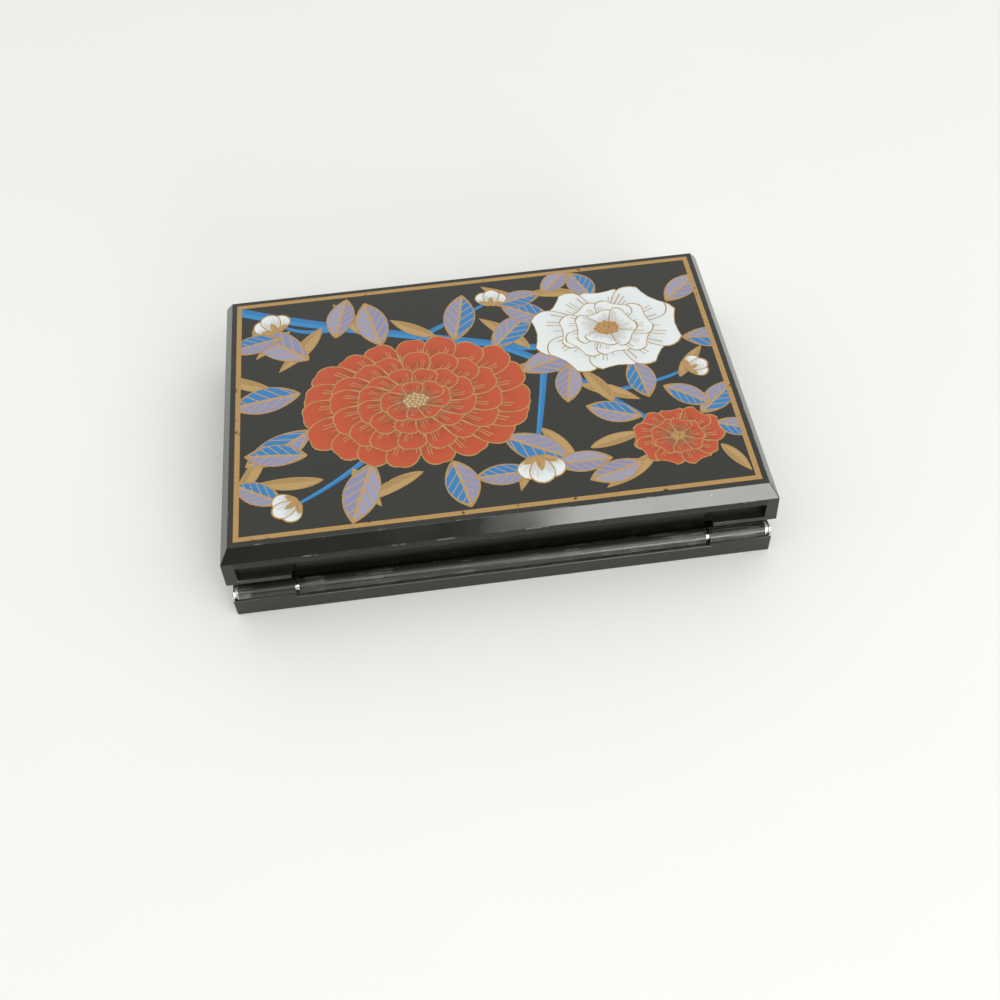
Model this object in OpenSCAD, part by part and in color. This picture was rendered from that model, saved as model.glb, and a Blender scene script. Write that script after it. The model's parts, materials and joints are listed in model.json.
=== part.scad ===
// Hinged trinket box: a shallow lacquered tray, a chamfered lid and a barrel hinge along the back.
// Millimetres, +Z up. The opening side faces -Y, the hinge runs along X at +Y.
// Origin: centre of the underside.

/* [Box] */
// Width along the hinge
box_w = 110; // [90:1:140]
// Depth from the opening side to the hinge side
box_d = 75; // [60:1:100]
// Height of the tray up to the parting line
base_h = 10.4; // [9:0.1:13]
// Height of the lid above the parting line
lid_h = 9.3; // [8.8:0.1:13]
// Thickness of the tray walls
wall = 2; // [1.5:0.1:3]
// Thickness of the tray floor
floor_t = 1.8; // [1.2:0.1:2.4]
// Draft of the moulded walls in degrees
draft = 1; // [0:0.25:1.5]
// How far the tray wall sits inside the lid wall
tray_step = 0.15; // [0.05:0.05:0.3]
// Depth of the recess in the underside
foot_recess = 0.5; // [0.2:0.1:0.8]
// Width of the rim that the box stands on
foot_rim = 4; // [2:0.5:8]

/* [Lid] */
// Thickness of the lid walls
lid_wall = 1.8; // [1.4:0.1:2]
// Thickness of the lid top
top_t = 1.8; // [1.4:0.1:2.2]
// Width of the chamfer in plan
chamfer_w = 1.9; // [1:0.1:2.6]
// Height of the chamfer
chamfer_h = 3; // [2:0.1:3]
// Height of the round-bottomed cove along the back of the lid
cove_d = 3.7; // [3:0.1:3.8]
// Height of the cove axis above the parting line
cove_rise = 2.85; // [2.8:0.05:3.2]
// How far the cove axis sits inside the back face
cove_in = 1.55; // [1.2:0.05:1.7]
// Width of the corner posts at the ends of the cove
post_w = 2.5; // [2:0.1:4]

/* [Hinge] */
// Outside diameter of the hinge barrel
barrel_d = 3.3; // [3:0.1:3.4]
// Distance of the hinge axis from the back face
hinge_inset = 2.1; // [2:0.05:2.3]
// Height of the hinge axis
hinge_z = 5; // [4.6:0.1:5.4]
// Length of each end knuckle
knuckle_l = 11.4; // [6:0.2:16]
// Gap between each end knuckle and the centre barrel
seam_gap = 0.8; // [0.4:0.1:1.2]
// Gap around the centre barrel in its trough
hinge_gap = 0.3; // [0.25:0.05:0.4]
// Height of the tray wall behind the centre barrel
back_wall_h = 3.7; // [3.4:0.1:3.9]
// Height of the tray wall behind the end knuckles
knuckle_wall_h = 4.5; // [4:0.1:4.6]
// Thickness of the lid web that carries the centre barrel
web_t = 1.2; // [1:0.1:1.6]
// Thickness of the tray wall between the hinge trough and the inside
rail_t = 1.4; // [1.2:0.1:2.4]
// Gap around the pin head in its open corner
pocket_gap = 0.15; // [0.1:0.05:0.25]

/* [Hinge pins] */
// Diameter of the pin shank
pin_d = 2; // [1.6:0.1:2.1]
// Diameter of the pin head
pin_head_d = 2.9; // [2.4:0.1:2.9]
// Length of the pin head
pin_head_l = 0.7; // [0.5:0.1:1]
// Diameter of the neck between the pin head and the washer
pin_neck_d = 2.4; // [2.3:0.1:2.6]
// Length of the neck between the pin head and the washer
pin_neck_l = 0.4; // [0.2:0.05:0.6]
// How far each pin reaches into the centre barrel
pin_reach = 8; // [5:0.5:14]
// Running clearance on the radius in the centre barrel
pin_run = 0.05; // [0.03:0.01:0.08]
// Clearance on the radius of the push fit in the knuckles
pin_push = 0.02; // [0.01:0.01:0.03]
// How far the end of the pin head stands out of the side of the tray
pin_proud = 0.2; // [0.05:0.05:0.2]
// Diameter of the washer under the pin head
washer_d = 3.1; // [3:0.1:3.2]
// Thickness of the washer
washer_t = 0.35; // [0.25:0.05:0.5]

/* [Mirror] */
// Thickness of the mirror glass
mirror_t = 2; // [1.5:0.1:2.2]
// Thickness of the foam pad behind the mirror
mirror_pad_t = 0.8; // [0.5:0.1:1]
// How far the moulded rim around the mirror stays inside the ceiling edge
mirror_rim_in = 0.4; // [0.2:0.1:2]
// Width of the moulded rim around the mirror
mirror_rim_w = 1.2; // [0.8:0.1:1.6]
// Height of the moulded rim below the ceiling of the lid
mirror_rim_h = 2.2; // [1.6:0.1:2.6]
// Gap between the mirror and its rim
mirror_gap = 0.25; // [0.15:0.05:0.4]
// How far the foam pad stays inside the mirror edge
mirror_pad_in = 4; // [2:0.5:8]

/* [Lining] */
// Thickness of the covered lining strips
lining_t = 1.1; // [0.8:0.1:1.6]
// How far the front and side strips stand above the parting line
lining_rise = 1.2; // [0.8:0.1:1.6]
// How far the back strip stays below the parting line
lining_drop = 0.4; // [0.2:0.1:1]
// Thickness of the floor card
card_t = 0.8; // [0.5:0.1:1.2]
// Thickness of the floor pad at its middle
pad_t = 2.2; // [1.8:0.1:2.6]
// Thickness of the floor pad at its edges
pad_edge_t = 1.2; // [0.8:0.1:1.6]
// Gap between the lining pieces and what they lie against
lining_gap = 0.1; // [0.05:0.05:0.2]

/* [Opening side] */
// Radius of the ball that shapes the thumb dimple
thumb_r = 12; // [8:0.5:20]
// Depth of the thumb dimple
thumb_deep = 0.9; // [0.5:0.1:1]
// Distance of the dimple centre below the parting line
thumb_drop = 2; // [1:0.1:3]

/* [Hidden] */
$fn = 64;
lap = 0.5;
bite = 0.06;
pad_steps = 16;
// A length to the nearest hundredth, so that faces made by different modules meet exactly
function hundredth(length) = round(100 * length) / 100;
slope = tan(draft);
half_w = box_w / 2;
half_d = box_d / 2;
total_h = base_h + lid_h;
barrel_r = barrel_d / 2;
pin_r = pin_d / 2;
head_r = pin_head_d / 2;
neck_r = pin_neck_d / 2;
washer_r = washer_d / 2;
cove_r = cove_d / 2;
cove_z = base_h + cove_rise;
hinge_y = half_d - hinge_inset;
trough_r = barrel_r + hinge_gap;
web_back = half_d - cove_in - cove_r + bite;
web_front = web_back - web_t;
trough_front = web_front - hinge_gap;
inside_back = trough_front - rail_t;
tray_half_w = half_w - tray_step;
tray_half_d = half_d - tray_step;
inside_half_w = tray_half_w - wall;
inside_front = -(tray_half_d - wall);
pin_out = tray_half_w - hundredth((base_h - hinge_z) * slope) + pin_proud;
knuckle_out = pin_out - pin_head_l - pin_neck_l - washer_t;
knuckle_in = knuckle_out - knuckle_l;
barrel_half = knuckle_in - seam_gap;
pocket_r = washer_r + pocket_gap;
shelf_rise = 0.8 * barrel_r;
lid_side_h = lid_h - chamfer_h;
lid_lean = hundredth(lid_side_h * slope);
tray_lean = hundredth(base_h * slope);
ceiling_z = total_h - top_t;
ceiling_half_w = half_w - lid_wall - chamfer_w;
ceiling_front = -(half_d - lid_wall - chamfer_w);
ceiling_back = inside_back - chamfer_w;
mirror_half_w = ceiling_half_w - mirror_rim_in - mirror_rim_w - mirror_gap;
mirror_front = ceiling_front + mirror_rim_in + mirror_rim_w + mirror_gap;
mirror_back = ceiling_back - mirror_rim_in - mirror_rim_w - mirror_gap;
card_top = floor_t + card_t;
lining_half_w = inside_half_w - lining_gap;
lining_front = inside_front + lining_gap;
lining_back = inside_back - lining_gap;
pad_half_w = lining_half_w - lining_t - lining_gap;
pad_front = lining_front + lining_t + lining_gap;
pad_back = lining_back - lining_t - lining_gap;

// Extrude a profile drawn in Y and Z along X
module along_x(length) rotate([90, 0, 90]) linear_extrude(length, center = true) children();

// Extrude a profile drawn in X and Z along Y
module along_y(length) rotate([90, 0, 0]) linear_extrude(length, center = true) children();

// Box between two opposite corners
module span(from, to) translate(from) cube(to - from);

// Copy to both ends of the hinge
module both_ends() {
    children();
    mirror([1, 0, 0]) children();
}

// Round bar along X on the hinge axis, from x = from to x = to
module hinge_bar(from, to, radius) translate([from, hinge_y, hinge_z]) rotate([0, 90, 0])
    cylinder(h = to - from, r = radius);

// Upright side of the tray, narrower at the foot by the draft
function tray_profile(half) = [
    [-(half - tray_lean), 0], [half - tray_lean, 0], [half, base_h], [-half, base_h]];

// Outside of the lid: drafted wall, chamfer, flat top
function lid_profile(half) = let (shoulder = half - lid_lean) [
    [-half, base_h], [half, base_h], [shoulder, base_h + lid_side_h],
    [shoulder - chamfer_w, total_h], [-(shoulder - chamfer_w), total_h],
    [-shoulder, base_h + lid_side_h]];

// Inside of the lid, with the same chamfer below the ceiling
function lid_inside_profile(low, high) = [
    [low, base_h - lap], [high, base_h - lap], [high, ceiling_z - chamfer_h],
    [high - chamfer_w, ceiling_z], [low + chamfer_w, ceiling_z], [low, ceiling_z - chamfer_h]];

// Section of a pad from low to high: straight edges up to pad_edge_t and an arched top
module pad_section(low, high) {
    half = (high - low) / 2;
    arch = [for (i = [0 : pad_steps]) let (u = 1 - 2 * i / pad_steps)
        [u * half, pad_edge_t + (pad_t - pad_edge_t) * (1 - u * u)]];
    translate([(low + high) / 2, card_top]) polygon(concat([[-half, 0], [half, 0]], arch));
}

// Trough for the centre barrel, open to the back and the top
module hinge_trough() along_x(2 * knuckle_in) {
    translate([hinge_y, hinge_z]) circle(trough_r + bite);
    translate([trough_front, hinge_z - hinge_gap]) square([box_d, base_h]);
    translate([hinge_y, back_wall_h]) square([box_d, base_h]);
}

// Corner of the tray that is left open for the pin head and its washer
module pin_corner() {
    hinge_bar(knuckle_out, half_w + lap, pocket_r);
    span([knuckle_out, hinge_y - pocket_r + bite, hinge_z], [half_w + lap, half_d + lap, base_h + lap]);
    span([knuckle_out - lap, hinge_y, knuckle_wall_h], [half_w + lap, half_d + lap, base_h + lap]);
}

// Everything above the tray wall at an end knuckle
module knuckle_space() {
    span([knuckle_in - lap, trough_front, hinge_z], [knuckle_out, half_d + lap, base_h + lap]);
    span([knuckle_in - lap, hinge_y, knuckle_wall_h], [knuckle_out, half_d + lap, base_h + lap]);
}

// End knuckle and the shelf that ties it to the rail
module end_knuckle() {
    hinge_bar(knuckle_in, knuckle_out, barrel_r);
    span([knuckle_in, trough_front - lap, hinge_z - lap], [knuckle_out, hinge_y, hinge_z + shelf_rise]);
}

// Moulded tray with the end knuckles of the hinge
module base_shell() color([0.03, 0.03, 0.03]) difference() {
    union() {
        difference() {
            intersection() {
                along_x(box_w) polygon(tray_profile(tray_half_d));
                along_y(box_d) polygon(tray_profile(tray_half_w));
            }
            span([-inside_half_w, inside_front, floor_t], [inside_half_w, inside_back, base_h + lap]);
            span([-tray_half_w + foot_rim, -tray_half_d + foot_rim, -lap],
                [tray_half_w - foot_rim, tray_half_d - foot_rim, foot_recess]);
            translate([0, -tray_half_d - thumb_r + thumb_deep, base_h - thumb_drop]) sphere(thumb_r);
            hinge_trough();
            both_ends() knuckle_space();
            both_ends() pin_corner();
        }
        both_ends() end_knuckle();
    }
    both_ends() hinge_bar(knuckle_in - lap, knuckle_out + lap, pin_r + pin_push);
}

// Section of the cove: a round bottom that is open to the back
module cove_section() translate([half_d - cove_in, cove_z]) {
    circle(cove_r);
    translate([0, -cove_r + bite]) square([cove_in + lap, cove_d - 2 * bite]);
}

// Moulded lid with the cove, the web and the centre barrel of the hinge
module lid_shell() color([0.04, 0.04, 0.04]) difference() {
    union() {
        difference() {
            intersection() {
                along_x(box_w) polygon(lid_profile(half_d));
                along_y(box_d) polygon(lid_profile(half_w));
            }
            intersection() {
                along_x(box_w) polygon(lid_inside_profile(-half_d + lid_wall, inside_back));
                along_y(box_d) polygon(lid_inside_profile(-half_w + lid_wall, half_w - lid_wall));
            }
            along_x(2 * (half_w - post_w)) cove_section();
            span([-knuckle_in, web_back, base_h - lap], [knuckle_in, half_d + lap, cove_z]);
        }
        span([-barrel_half, web_front, hinge_z], [barrel_half, web_back, base_h + lap]);
        hinge_bar(-barrel_half, barrel_half, barrel_r);
        difference() {
            span([-mirror_half_w - mirror_gap - mirror_rim_w, mirror_front - mirror_gap - mirror_rim_w,
                ceiling_z - mirror_rim_h],
                [mirror_half_w + mirror_gap + mirror_rim_w, mirror_back + mirror_gap + mirror_rim_w,
                ceiling_z + lap]);
            span([-mirror_half_w - mirror_gap, mirror_front - mirror_gap, ceiling_z - mirror_rim_h - lap],
                [mirror_half_w + mirror_gap, mirror_back + mirror_gap, ceiling_z]);
        }
    }
    both_ends() hinge_bar(barrel_half - pin_reach - lap, barrel_half + lap, pin_r + pin_run);
}

// Headed pin on the +X side: pushed into the end knuckle, running in the centre barrel
module hinge_pin() {
    hinge_bar(barrel_half - pin_reach, knuckle_out + washer_t + lap, pin_r);
    hinge_bar(knuckle_out + washer_t, pin_out - pin_head_l + lap, neck_r);
    hinge_bar(pin_out - pin_head_l, pin_out, head_r);
}

// Washer between the pin head and the end of the knuckle on the +X side
module pin_washer() difference() {
    hinge_bar(knuckle_out, knuckle_out + washer_t, washer_r);
    hinge_bar(knuckle_out - lap, knuckle_out + washer_t + lap, pin_r + pin_push);
}

// Hinge pin at the left end, seen from the back
module left_hinge_pin() color([0.75, 0.75, 0.76]) hinge_pin();

// Hinge pin at the right end, seen from the back
module right_hinge_pin() color([0.75, 0.75, 0.76]) mirror([1, 0, 0]) hinge_pin();

// Washer at the left end, seen from the back
module left_pin_washer() color([0.7, 0.7, 0.7]) pin_washer();

// Washer at the right end, seen from the back
module right_pin_washer() color([0.7, 0.7, 0.7]) mirror([1, 0, 0]) pin_washer();

// Mirror plate in the lid
module mirror_glass() color([0.8, 0.85, 0.88]) span(
    [-mirror_half_w, mirror_front, ceiling_z - mirror_pad_t - mirror_t],
    [mirror_half_w, mirror_back, ceiling_z - mirror_pad_t]);

// Adhesive foam pad that holds the mirror to the lid
module mirror_pad() color([0.85, 0.85, 0.8]) span(
    [-mirror_half_w + mirror_pad_in, mirror_front + mirror_pad_in, ceiling_z - mirror_pad_t],
    [mirror_half_w - mirror_pad_in, mirror_back - mirror_pad_in, ceiling_z]);

// Stiff card on the tray floor
module floor_card() color([0.55, 0.5, 0.42]) span(
    [-lining_half_w, lining_front, floor_t], [lining_half_w, lining_back, card_top]);

// Velvet-covered pad on the card, arched both ways
module floor_pad() color([0.35, 0.03, 0.05]) intersection() {
    along_x(box_w) pad_section(pad_front, pad_back);
    along_y(box_d) pad_section(-pad_half_w, pad_half_w);
}

// Covered strip along the opening side
module front_lining() color([0.4, 0.03, 0.06]) span(
    [-lining_half_w + lining_t, lining_front, card_top],
    [lining_half_w - lining_t, lining_front + lining_t, base_h + lining_rise]);

// Covered strip along the hinge side
module back_lining() color([0.4, 0.03, 0.06]) span(
    [-lining_half_w + lining_t, lining_back - lining_t, card_top],
    [lining_half_w - lining_t, lining_back, base_h - lining_drop]);

// Covered strip along the +X side
module side_lining() span([lining_half_w - lining_t, lining_front, card_top],
    [lining_half_w, lining_back, base_h + lining_rise]);

// Covered strip at the left end, seen from the back
module left_lining() color([0.4, 0.03, 0.06]) side_lining();

// Covered strip at the right end, seen from the back
module right_lining() color([0.4, 0.03, 0.06]) mirror([1, 0, 0]) side_lining();

base_shell();
lid_shell();
left_hinge_pin();
right_hinge_pin();
left_pin_washer();
right_pin_washer();
mirror_glass();
mirror_pad();
floor_card();
floor_pad();
front_lining();
back_lining();
left_lining();
right_lining();
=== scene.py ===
# %% [markdown]
# # A hinged lacquer trinket box
# The box is a flat black tray with a chamfered lid that swings on two steel pins at the back.
# The imported CAD model already holds every piece at its real size and place.
# We load it first, and read the boxes of its pieces where a new piece must fit them.

# %% Load the frame
import json
import math
import random

import bmesh
import bpy
from mathutils import Matrix, Vector


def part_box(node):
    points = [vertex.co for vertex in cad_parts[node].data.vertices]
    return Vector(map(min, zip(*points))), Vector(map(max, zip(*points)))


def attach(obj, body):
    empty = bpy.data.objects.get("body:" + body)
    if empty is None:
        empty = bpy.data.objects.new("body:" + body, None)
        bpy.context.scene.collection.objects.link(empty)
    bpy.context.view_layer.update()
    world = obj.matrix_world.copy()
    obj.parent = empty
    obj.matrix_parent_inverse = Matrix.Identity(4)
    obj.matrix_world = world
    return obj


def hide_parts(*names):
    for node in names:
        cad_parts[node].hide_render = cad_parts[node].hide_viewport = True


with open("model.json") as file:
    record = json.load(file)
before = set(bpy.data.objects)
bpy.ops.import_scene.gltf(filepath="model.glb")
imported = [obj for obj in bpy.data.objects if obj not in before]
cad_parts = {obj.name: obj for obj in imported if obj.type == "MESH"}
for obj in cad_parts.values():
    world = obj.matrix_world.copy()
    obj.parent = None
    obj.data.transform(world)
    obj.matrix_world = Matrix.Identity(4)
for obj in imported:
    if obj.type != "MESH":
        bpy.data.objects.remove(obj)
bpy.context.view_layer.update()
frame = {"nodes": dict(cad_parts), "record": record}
MM = 0.001

# %% [markdown]
# The photograph looks down on the hinged side from about fifty degrees.
# A camera is a place, a direction to the right and a direction down the picture.
# These three were solved from the box's own corners, so the lens needs no shift.

# %% Set up the camera
CAMERA_PLACE = Vector((0.0113735, 0.1864138, 0.2054942))
CAMERA_RIGHT = Vector((-0.991679, 0.122387, -0.039918))
CAMERA_DOWN = Vector((0.119461, 0.759348, -0.639625))
CAMERA_LENS = 44.581
CAMERA_SENSOR = 36.0

camera_data = bpy.data.cameras.new("camera")
camera_data.lens = CAMERA_LENS
camera_data.sensor_width = CAMERA_SENSOR
camera_data.sensor_fit = "HORIZONTAL"
camera_data.clip_start = 0.01
camera = bpy.data.objects.new("camera", camera_data)
bpy.context.collection.objects.link(camera)
camera_forward = CAMERA_RIGHT.cross(CAMERA_DOWN)
camera_turn = Matrix((CAMERA_RIGHT, -CAMERA_DOWN, -camera_forward)).transposed()
camera.matrix_world = Matrix.Translation(CAMERA_PLACE) @ camera_turn.to_4x4()
bpy.context.scene.camera = camera
bpy.context.scene.view_settings.view_transform = "Standard"
print("camera stands", round(CAMERA_PLACE.length / MM), "mm from the box's middle")

# %% [markdown]
# Every finish below is a small tree of shader nodes.
# A few helpers keep those trees short. One adds a node and sets or links its inputs,
# some make the noise, ramps and bumps that most finishes share,
# and one starts a node group with named inputs and outputs.

# %% Tools for shader trees
FLOAT = "NodeSocketFloat"


def set_inputs(tree, node, inputs):
    """Links each socket among the inputs to the node, and sets any other value."""
    for socket, value in inputs.items():
        if isinstance(value, bpy.types.NodeSocket):
            tree.links.new(value, node.inputs[socket])
        else:
            node.inputs[socket].default_value = value


def add(tree, kind, inputs=None, **settings):
    """A new shader node with its settings and inputs."""
    node = tree.nodes.new("ShaderNode" + kind)
    for name, value in settings.items():
        setattr(node, name, value)
    set_inputs(tree, node, inputs or {})
    return node


def maths(tree, operation, first, second=0.0):
    """The result of one Math node."""
    return add(tree, "Math", {0: first, 1: second}, operation=operation).outputs[0]


def ramp(tree, value, low, high, to_low=0.0, to_high=1.0):
    """The value from low to high, eased on to the range from to_low to to_high."""
    inputs = {0: value, 1: low, 2: high, 3: to_low, 4: to_high}
    return add(tree, "MapRange", inputs, interpolation_type="SMOOTHSTEP").outputs[0]


def mixed(tree, share, first, second):
    """A colour between first and second."""
    node = add(tree, "Mix", {0: share, 6: first, 7: second}, data_type="RGBA")
    return node.outputs[2]


def object_place(tree):
    """Where a point lies in the frame of its own piece."""
    return add(tree, "TexCoord").outputs["Object"]


def noise(tree, where, scale, detail, distortion=0.0):
    """Cloudy noise from 0 to 1."""
    inputs = {"Vector": where, "Scale": scale, "Detail": detail, "Distortion": distortion}
    return add(tree, "TexNoise", inputs).outputs[0]


def bumped(tree, height, strength, depth):
    """A normal that follows a height."""
    inputs = {"Height": height, "Strength": strength, "Distance": depth}
    return add(tree, "Bump", inputs).outputs[0]


def new_group(name, inputs, outputs):
    """An empty shader group with its sockets, and the nodes at its two ends."""
    group = bpy.data.node_groups.new(name, "ShaderNodeTree")
    for label, kind, value in inputs:
        socket = group.interface.new_socket(label, in_out="INPUT", socket_type=kind)
        socket.default_value = value
    for label, kind in outputs:
        group.interface.new_socket(label, in_out="OUTPUT", socket_type=kind)
    return group, group.nodes.new("NodeGroupInput"), group.nodes.new("NodeGroupOutput")


def place(tree, group, **values):
    """One group node in a tree, with its own values."""
    node = tree.nodes.new("ShaderNodeGroup")
    node.node_tree = group
    set_inputs(tree, node, values)
    return node


print("shader tools ready")

# %% [markdown]
# The old box has seen handling: specks of dust, fine scratches and rubbed edges.
# Each is a mask in a node group of its own, and the dust specks are used by more than one material.
# Specks and scratches come from Voronoi cells, which give separate spots where noise gives clouds.
# The rubbed edges read a face attribute that the shells get when their edges are rounded.
# Up to 1 it says how strong the rubbed patches are, and above 1 the edge gets a painted highlight all
# along.

# %% Groups for dust, scratches, rubbed edges and painted edge highlights
SCRATCH_TURNS = (0.35, 1.9)
WEAR_FADE = 0.12


def make_dust():
    group, start, end = new_group(
        "Dust specks",
        [("Spacing", FLOAT, 0.003), ("Size", FLOAT, 0.05), ("Share", FLOAT, 0.4)],
        [("Mask", FLOAT)],
    )
    scale = maths(group, "DIVIDE", 1.0, start.outputs["Spacing"])
    cells = add(group, "TexVoronoi", {"Vector": object_place(group), "Scale": scale})
    chance = add(group, "SeparateColor", {0: cells.outputs["Color"]})
    kept = maths(group, "LESS_THAN", chance.outputs[0], start.outputs["Share"])
    reach = maths(group, "MULTIPLY", start.outputs["Size"], chance.outputs[1])
    inside = maths(group, "LESS_THAN", cells.outputs["Distance"], reach)
    group.links.new(maths(group, "MULTIPLY", inside, kept), end.inputs["Mask"])
    return group


def make_scratches():
    group, start, end = new_group(
        "Fine scratches",
        [("Long", FLOAT, 0.04), ("Apart", FLOAT, 0.0005), ("Size", FLOAT, 0.12)],
        [("Mask", FLOAT)],
    )
    where = object_place(group)
    along = maths(group, "DIVIDE", 1.0, start.outputs["Long"])
    across = maths(group, "DIVIDE", 1.0, start.outputs["Apart"])
    stretch = add(group, "CombineXYZ", {0: along, 1: across, 2: across}).outputs[0]
    masks = []
    for angle in SCRATCH_TURNS:
        slanted = add(group, "VectorRotate", {"Vector": where, "Angle": angle}).outputs[0]
        inputs = {0: slanted, 1: stretch}
        long_cells = add(group, "VectorMath", inputs, operation="MULTIPLY").outputs[0]
        cells = add(group, "TexVoronoi", {"Vector": long_cells, "Scale": 1.0})
        near = maths(group, "LESS_THAN", cells.outputs["Distance"], start.outputs["Size"])
        masks.append(near)
    group.links.new(maths(group, "MAXIMUM", *masks), end.inputs["Mask"])
    return group


def make_edge_rub_and_highlight():
    group, start, end = new_group(
        "Rubbed edges and lip highlight",
        [("Patch", FLOAT, 0.004), ("Level", FLOAT, 0.55)],
        [("Mask", FLOAT)],
    )
    scale = maths(group, "DIVIDE", 1.0, start.outputs["Patch"])
    cloud = noise(group, object_place(group), scale, 5.0)
    higher = maths(group, "ADD", start.outputs["Level"], WEAR_FADE)
    patches = ramp(group, cloud, start.outputs["Level"], higher)
    edge = add(group, "Attribute", attribute_name="wear_and_highlight").outputs["Fac"]
    in_patches = maths(group, "MULTIPLY", patches, edge)
    painted_highlight = maths(group, "SUBTRACT", edge, 1.0)
    worn = maths(group, "MAXIMUM", in_patches, painted_highlight)
    group.links.new(maths(group, "MINIMUM", worn, 1.0), end.inputs["Mask"])
    return group


dust = make_dust()
scratches = make_scratches()
edge_rub_and_highlight = make_edge_rub_and_highlight()
print("groups:", dust.name, scratches.name, edge_rub_and_highlight.name)

# %% [markdown]
# Both shells are moulded in one black, glossy plastic that stands in for lacquer.
# Nearly all that shows is reflection, so the base colour is close to black and the roughness low.
# A slight waviness keeps the long faces from looking like glass.
# A mask gives the narrow strip below the lid's chamfer a lower gloss than the rest.

# %% The polished lacquer
LACQUER_BLACK = (0.0145, 0.0142, 0.0112, 1.0)
WORN_AND_LIT_GREY = (0.105, 0.1, 0.09, 1.0)
DUST_WHITE = (0.26, 0.255, 0.235, 1.0)
POLISHED_ROUGHNESS = (0.1, 0.17)
SCRATCH_ROUGHNESS = 0.25
RUBBED_ROUGHNESS = 0.5
FULL_SHINE = 0.5
STRIP_SHINE = 0.27
STRIP_MIDDLE_Z = 15.9 * MM
STRIP_HALF_H = 0.85 * MM
STRIP_HALF_W = 52.5 * MM
STRIP_Y = 37.2 * MM


def new_material(name):
    material = bpy.data.materials.new(name)
    material.use_nodes = True
    return material, material.node_tree, material.node_tree.nodes["Principled BSDF"]


def on_strip(tree, where):
    """1 on the narrow strip between the lid's chamfer and its cove, and 0 elsewhere."""
    x, y, z = add(tree, "SeparateXYZ", {0: where}).outputs
    off_middle = maths(tree, "ABSOLUTE", maths(tree, "SUBTRACT", z, STRIP_MIDDLE_Z))
    in_height = maths(tree, "LESS_THAN", off_middle, STRIP_HALF_H)
    in_width = maths(tree, "LESS_THAN", maths(tree, "ABSOLUTE", x), STRIP_HALF_W)
    at_back = maths(tree, "GREATER_THAN", y, STRIP_Y)
    return maths(tree, "MULTIPLY", maths(tree, "MULTIPLY", in_height, in_width), at_back)


def make_lacquer():
    material, tree, shader = new_material("black_lacquer")
    where = object_place(tree)
    worn = place(tree, edge_rub_and_highlight, Patch=0.0035, Level=0.56).outputs[0]
    specks = place(tree, dust, Spacing=0.0042, Size=0.05, Share=0.22).outputs[0]
    lines = place(tree, scratches).outputs[0]
    # The rubbed mask also carries the painted highlight along the tray's lip, in the same grey.
    colour = mixed(tree, worn, LACQUER_BLACK, WORN_AND_LIT_GREY)
    gloss = ramp(tree, noise(tree, where, 90.0, 4.0), 0.35, 0.7, *POLISHED_ROUGHNESS)
    gloss = maths(tree, "MAXIMUM", gloss, maths(tree, "MULTIPLY", lines, SCRATCH_ROUGHNESS))
    gloss = maths(tree, "MAXIMUM", gloss, maths(tree, "MULTIPLY", worn, RUBBED_ROUGHNESS))
    shine = ramp(tree, on_strip(tree, where), 0.0, 1.0, FULL_SHINE, STRIP_SHINE)
    finish = {
        "Base Color": mixed(tree, specks, colour, DUST_WHITE),
        "Roughness": gloss,
        "Specular IOR Level": shine,
        "Normal": bumped(tree, noise(tree, where, 55.0, 2.0), 0.25, 0.06 * MM),
        "IOR": 1.5,
    }
    set_inputs(tree, shader, finish)
    return material


polished = make_lacquer()
print("material:", polished.name)

# %% [markdown]
# The same plastic is rubbed on the hinge barrel, dull and darkened by painted shade deep in the recess
# behind it, and dusty and lightened by painted light in the channel below it.
# These could be masks in one material, but each is easier to read as a material of its own.
# A face of a shell then takes the finish that suits its place.

# %% Worn lacquer, and lacquer with painted shade and painted light
LACQUER_PAINTED_SHADE = (0.0035, 0.0034, 0.0028, 1.0)
LACQUER_DULL = (0.024, 0.0235, 0.019, 1.0)
CHANNEL_LINT_AND_LIGHT = (0.2, 0.195, 0.175, 1.0)
BARREL_ROUGHNESS = (0.21, 0.46)
RECESS_ROUGHNESS = (0.5, 0.7)
CHANNEL_ROUGHNESS = (0.7, 0.9)
RECESS_SHINE = (0.03, 0.25)
RECESS_DUST = 0.35
RECESS_SHADE_FADE = (8.2 * MM, 11.2 * MM)
STREAKS = (90.0, 2600.0, 2600.0)


def make_worn_lacquer():
    """The same plastic on the hinge barrel, dulled and streaked by rubbing."""
    material, tree, shader = new_material("worn_lacquer")
    where = object_place(tree)
    stretch = add(tree, "VectorMath", {0: where, 1: STREAKS}, operation="MULTIPLY")
    streaks = ramp(tree, noise(tree, stretch.outputs[0], 1.0, 3.0), 0.46, 0.62)
    patches = noise(tree, where, 210.0, 5.0)
    worn = maths(tree, "MULTIPLY", streaks, ramp(tree, patches, 0.46, 0.64))
    specks = place(tree, dust, Spacing=0.0021, Size=0.09, Share=0.3).outputs[0]
    colour = mixed(tree, worn, LACQUER_DULL, WORN_AND_LIT_GREY)
    finish = {
        "Base Color": mixed(tree, specks, colour, DUST_WHITE),
        "Roughness": ramp(tree, worn, 0.0, 1.0, *BARREL_ROUGHNESS),
        "Normal": bumped(tree, patches, 0.35, 0.12 * MM),
    }
    set_inputs(tree, shader, finish)
    return material


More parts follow.
